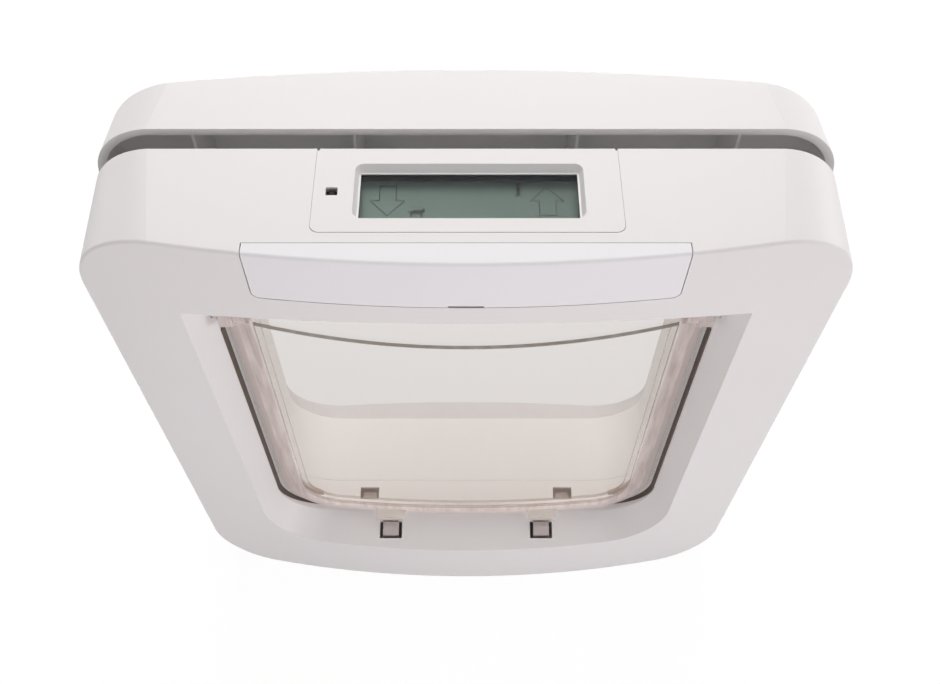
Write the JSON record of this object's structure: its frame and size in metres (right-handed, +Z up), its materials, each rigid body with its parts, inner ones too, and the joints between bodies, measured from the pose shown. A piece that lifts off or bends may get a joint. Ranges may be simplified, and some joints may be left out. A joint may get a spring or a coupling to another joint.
{
  "type": "microchip pet door",
  "caption": "Battery-powered pet door with two bulged white frames, a telescoping tunnel, a clear swinging flap, sill latches, a display on top and a hinged battery cover.",
  "frame": {"origin": "middle of the footprint of the two frames, on the surface they stand on", "axes": "+Z up, +Y outdoors through the door, +X to the right as seen from indoors"},
  "size_m": [0.264, 0.0878, 0.281],
  "materials": {
    "white_plastic": "fine satin moulded",
    "clear_plastic": "clear, slightly smoked",
    "display_window": "clear gloss",
    "display_glass": "grey-green",
    "black_plastic": "matt",
    "grey_rubber": "matt",
    "brush": "short bristles",
    "plated_steel": "plated",
    "copper_wire": "enamelled wire",
    "circuit_board": "solder mask",
    "coil_case": "zinc grey",
    "cell_wrap": "plain wrapper"
  },
  "bodies": {
    "frames": {"inner_frame": "white_plastic", "display_panel": "white_plastic", "lcd_lens": "display_window", "lcd_holder": "black_plastic", "lcd_module": "display_glass", "light_sensor": "black_plastic", "battery_tray": "white_plastic", "battery_contacts": "plated_steel", "button_board": "circuit_board", "main_board": "circuit_board", "reader_coil": "copper_wire", "tunnel_liner": "white_plastic", "rear_cover": "white_plastic", "cover_screws": "plated_steel", "outer_frame": "white_plastic", "outer_tunnel": "white_plastic", "fixing_screws": "plated_steel", "screw_caps": "white_plastic", "inner_lock_coil": "coil_case", "outer_lock_coil": "coil_case", "battery_1": "cell_wrap", "battery_2": "cell_wrap", "battery_3": "cell_wrap", "battery_4": "cell_wrap"},
    "flap": {"flap_panel": "clear_plastic", "hinge_pin_left": "plated_steel", "hinge_pin_right": "plated_steel", "brush_strip_left": "brush", "brush_strip_right": "brush"},
    "inner_lock": {"inner_latch_left": "white_plastic", "inner_latch_right": "white_plastic", "inner_lock_bar": "white_plastic", "inner_lock_plunger": "plated_steel"},
    "outer_lock": {"outer_latch_left": "white_plastic", "outer_latch_right": "white_plastic", "outer_lock_bar": "white_plastic", "outer_lock_plunger": "plated_steel"},
    "cover": {"battery_cover": "white_plastic"},
    "settings_key": {"settings_button": "grey_rubber"},
    "ok_key": {"ok_button": "grey_rubber"},
    "down_key": {"down_button": "grey_rubber"},
    "up_key": {"up_button": "grey_rubber"}
  },
  "joints": [
    {"name": "flap_swing", "type": "hinge", "parent": "frames", "child": "flap", "pos_m": [0, -0.02279, 0.224], "axis": [1, 0, 0], "range_deg": [-80, 80]},
    {"name": "inner_lock_lift", "type": "slide", "parent": "frames", "child": "inner_lock", "axis": [0, 0, 1], "range_m": [0, 0.008]},
    {"name": "outer_lock_lift", "type": "slide", "parent": "frames", "child": "outer_lock", "axis": [0, 0, 1], "range_m": [0, 0.0085]},
    {"name": "cover_hinge", "type": "hinge", "parent": "frames", "child": "cover", "pos_m": [0, -0.03695, 0.2792], "axis": [1, 0, 0], "range_deg": [-92, 0]},
    {"name": "settings_press", "type": "slide", "parent": "frames", "child": "settings_key", "axis": [0, 1, 0], "range_m": [0, 0.0012], "stiffness_N_per_m": 600},
    {"name": "ok_press", "type": "slide", "parent": "frames", "child": "ok_key", "axis": [0, 1, 0], "range_m": [0, 0.0012], "stiffness_N_per_m": 600},
    {"name": "down_press", "type": "slide", "parent": "frames", "child": "down_key", "axis": [0, 1, 0], "range_m": [0, 0.0012], "stiffness_N_per_m": 600},
    {"name": "up_press", "type": "slide", "parent": "frames", "child": "up_key", "axis": [0, 1, 0], "range_m": [0, 0.0012], "stiffness_N_per_m": 600}
  ]
}
